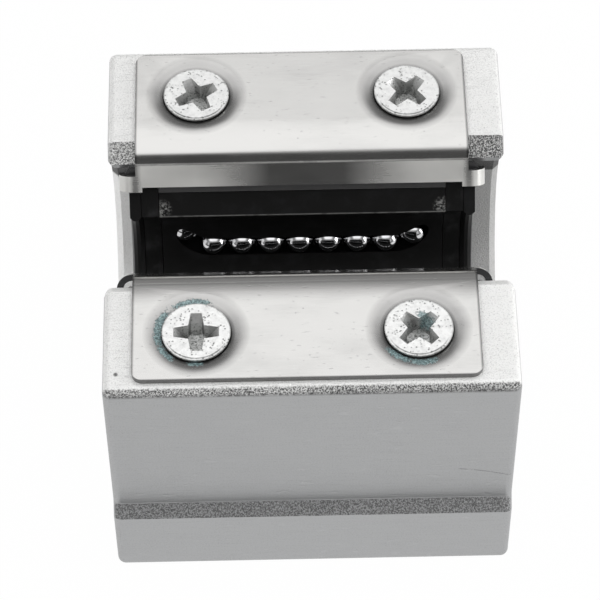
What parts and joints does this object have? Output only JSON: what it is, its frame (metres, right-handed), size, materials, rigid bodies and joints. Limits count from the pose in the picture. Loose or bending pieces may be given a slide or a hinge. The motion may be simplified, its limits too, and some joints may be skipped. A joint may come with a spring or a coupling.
{
  "type": "linear bearing block",
  "caption": "Open linear bearing block: a slotted aluminium casing holds an open ball bearing for a supported shaft, kept by two bent screwed plates.",
  "frame": {"origin": "middle of the mounting face", "axes": "+X along the shaft, +Y across it towards the back plate, +Z from the mounting face towards the slot"},
  "size_m": [0.032, 0.036, 0.0246],
  "materials": {
    "casing": "sandblasted lands, milled sides",
    "plates": "pale stainless sheet",
    "screws": "dull zinc plate",
    "sleeve": "ground hardened steel",
    "retainer": "black moulded resin",
    "rings": "blackened spring steel",
    "seals": "matte black rubber",
    "balls": "polished bearing steel"
  },
  "bodies": {
    "block": {"back_plate": "plates", "ball_retainer": "retainer", "bearing_sleeve": "sleeve", "casing": "casing", "end_seal_left": "seals", "end_seal_right": "seals", "front_plate": "plates", "plate_screw_back_left": "screws", "plate_screw_back_right": "screws", "plate_screw_front_left": "screws", "plate_screw_front_right": "screws", "retaining_ring_left": "rings", "retaining_ring_right": "rings", "return_balls_back": "balls", "return_balls_bottom": "balls", "return_balls_front": "balls"},
    "ball_back_1": {"ball_back_1": "balls"},
    "ball_back_2": {"ball_back_2": "balls"},
    "ball_back_3": {"ball_back_3": "balls"},
    "ball_back_4": {"ball_back_4": "balls"},
    "ball_back_5": {"ball_back_5": "balls"},
    "ball_back_6": {"ball_back_6": "balls"},
    "ball_back_7": {"ball_back_7": "balls"},
    "ball_bottom_1": {"ball_bottom_1": "balls"},
    "ball_bottom_2": {"ball_bottom_2": "balls"},
    "ball_bottom_3": {"ball_bottom_3": "balls"},
    "ball_bottom_4": {"ball_bottom_4": "balls"},
    "ball_bottom_5": {"ball_bottom_5": "balls"},
    "ball_bottom_6": {"ball_bottom_6": "balls"},
    "ball_bottom_7": {"ball_bottom_7": "balls"},
    "ball_front_1": {"ball_front_1": "balls"},
    "ball_front_2": {"ball_front_2": "balls"},
    "ball_front_3": {"ball_front_3": "balls"},
    "ball_front_4": {"ball_front_4": "balls"},
    "ball_front_5": {"ball_front_5": "balls"},
    "ball_front_6": {"ball_front_6": "balls"},
    "ball_front_7": {"ball_front_7": "balls"}
  },
  "joints": [
    {"name": "ball_back_1_roll", "type": "hinge", "parent": "block", "child": "ball_back_1", "pos_m": [-0.00777, 0.00572, 0.01263], "axis": [0, -0.3827, -0.9239], "continuous": true},
    {"name": "ball_back_2_roll", "type": "hinge", "parent": "block", "child": "ball_back_2", "pos_m": [-0.00538, 0.00572, 0.01263], "axis": [0, -0.3827, -0.9239], "continuous": true},
    {"name": "ball_back_3_roll", "type": "hinge", "parent": "block", "child": "ball_back_3", "pos_m": [-0.00299, 0.00572, 0.01263], "axis": [0, -0.3827, -0.9239], "continuous": true},
    {"name": "ball_back_4_roll", "type": "hinge", "parent": "block", "child": "ball_back_4", "pos_m": [-0.0006, 0.00572, 0.01263], "axis": [0, -0.3827, -0.9239], "continuous": true},
    {"name": "ball_back_5_roll", "type": "hinge", "parent": "block", "child": "ball_back_5", "pos_m": [0.00179, 0.00572, 0.01263], "axis": [0, -0.3827, -0.9239], "continuous": true},
    {"name": "ball_back_6_roll", "type": "hinge", "parent": "block", "child": "ball_back_6", "pos_m": [0.00418, 0.00572, 0.01263], "axis": [0, -0.3827, -0.9239], "continuous": true},
    {"name": "ball_back_7_roll", "type": "hinge", "parent": "block", "child": "ball_back_7", "pos_m": [0.00657, 0.00572, 0.01263], "axis": [0, -0.3827, -0.9239], "continuous": true},
    {"name": "ball_bottom_1_roll", "type": "hinge", "parent": "block", "child": "ball_bottom_1", "pos_m": [-0.00777, -0.00237, 0.00928], "axis": [0, -0.9239, 0.3827], "continuous": true},
    {"name": "ball_bottom_2_roll", "type": "hinge", "parent": "block", "child": "ball_bottom_2", "pos_m": [-0.00538, -0.00237, 0.00928], "axis": [0, -0.9239, 0.3827], "continuous": true},
    {"name": "ball_bottom_3_roll", "type": "hinge", "parent": "block", "child": "ball_bottom_3", "pos_m": [-0.00299, -0.00237, 0.00928], "axis": [0, -0.9239, 0.3827], "continuous": true},
    {"name": "ball_bottom_4_roll", "type": "hinge", "parent": "block", "child": "ball_bottom_4", "pos_m": [-0.0006, -0.00237, 0.00928], "axis": [0, -0.9239, 0.3827], "continuous": true},
    {"name": "ball_bottom_5_roll", "type": "hinge", "parent": "block", "child": "ball_bottom_5", "pos_m": [0.00179, -0.00237, 0.00928], "axis": [0, -0.9239, 0.3827], "continuous": true},
    {"name": "ball_bottom_6_roll", "type": "hinge", "parent": "block", "child": "ball_bottom_6", "pos_m": [0.00418, -0.00237, 0.00928], "axis": [0, -0.9239, 0.3827], "continuous": true},
    {"name": "ball_bottom_7_roll", "type": "hinge", "parent": "block", "child": "ball_bottom_7", "pos_m": [0.00657, -0.00237, 0.00928], "axis": [0, -0.9239, 0.3827], "continuous": true},
    {"name": "ball_front_1_roll", "type": "hinge", "parent": "block", "child": "ball_front_1", "pos_m": [-0.00777, -0.00572, 0.01737], "axis": [0, 0.3827, 0.9239], "continuous": true},
    {"name": "ball_front_2_roll", "type": "hinge", "parent": "block", "child": "ball_front_2", "pos_m": [-0.00538, -0.00572, 0.01737], "axis": [0, 0.3827, 0.9239], "continuous": true},
    {"name": "ball_front_3_roll", "type": "hinge", "parent": "block", "child": "ball_front_3", "pos_m": [-0.00299, -0.00572, 0.01737], "axis": [0, 0.3827, 0.9239], "continuous": true},
    {"name": "ball_front_4_roll", "type": "hinge", "parent": "block", "child": "ball_front_4", "pos_m": [-0.0006, -0.00572, 0.01737], "axis": [0, 0.3827, 0.9239], "continuous": true},
    {"name": "ball_front_5_roll", "type": "hinge", "parent": "block", "child": "ball_front_5", "pos_m": [0.00179, -0.00572, 0.01737], "axis": [0, 0.3827, 0.9239], "continuous": true},
    {"name": "ball_front_6_roll", "type": "hinge", "parent": "block", "child": "ball_front_6", "pos_m": [0.00418, -0.00572, 0.01737], "axis": [0, 0.3827, 0.9239], "continuous": true},
    {"name": "ball_front_7_roll", "type": "hinge", "parent": "block", "child": "ball_front_7", "pos_m": [0.00657, -0.00572, 0.01737], "axis": [0, 0.3827, 0.9239], "continuous": true}
  ]
}
